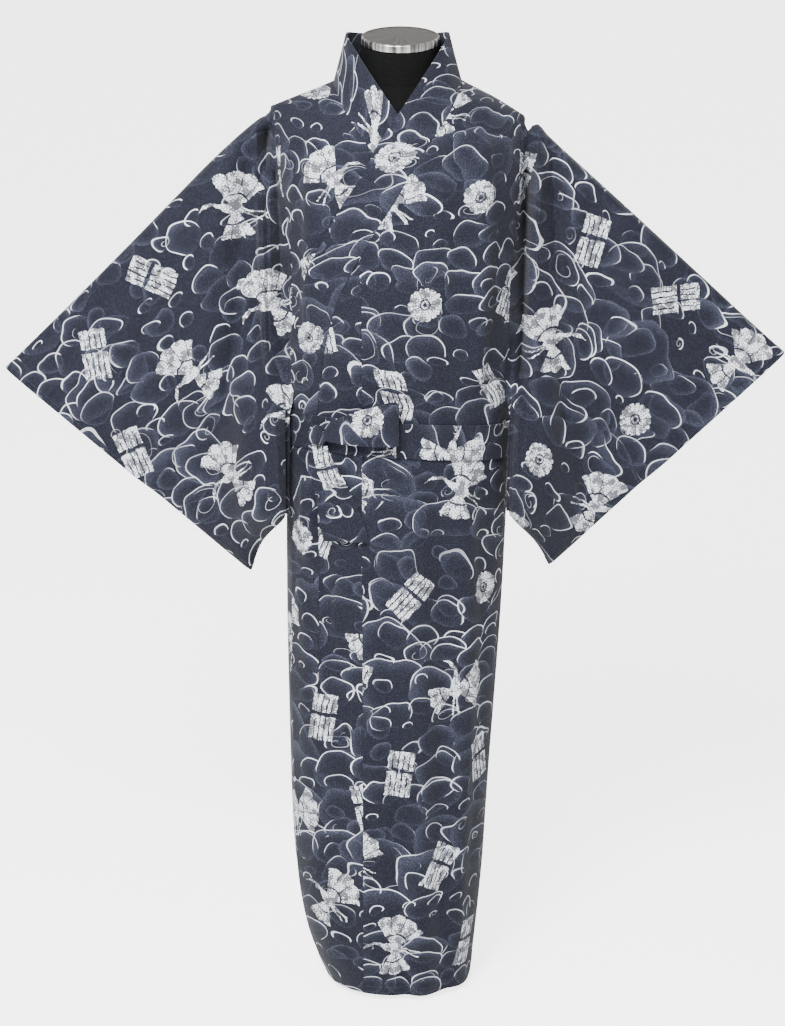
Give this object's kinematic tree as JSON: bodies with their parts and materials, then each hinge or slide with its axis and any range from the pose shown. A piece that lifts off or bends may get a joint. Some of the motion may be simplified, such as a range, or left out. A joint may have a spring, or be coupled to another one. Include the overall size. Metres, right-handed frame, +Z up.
{
  "type": "yukata robe on dress form",
  "caption": "Cotton yukata robe with wide sleeves, crossed left over right and tied with its own sash in a half bow, on a limbless dress form with a hidden round stand.",
  "frame": {"origin": "centre of the underside of the stand's round foot, on the floor", "axes": "+Z up, -Y to the front of the robe, +X to the wearer's left"},
  "size_m": [1.173, 0.2762, 1.5011],
  "materials": {
    "yukata_cotton": "matte",
    "form_cover": "matte",
    "satin_metal": "satin",
    "foot_enamel": "satin"
  },
  "bodies": {
    "root": {"body_left": "yukata_cotton", "body_right": "yukata_cotton", "okumi_left": "yukata_cotton", "okumi_right": "yukata_cotton", "collar": "yukata_cotton", "sleeve_left": "yukata_cotton", "sleeve_right": "yukata_cotton", "belt_band": "yukata_cotton", "belt_knot": "yukata_cotton", "belt_loop": "yukata_cotton", "belt_tail": "yukata_cotton", "form_torso": "form_cover", "form_neck_cap": "satin_metal", "stand_pole": "satin_metal", "stand_base": "foot_enamel"}
  },
  "joints": []
}
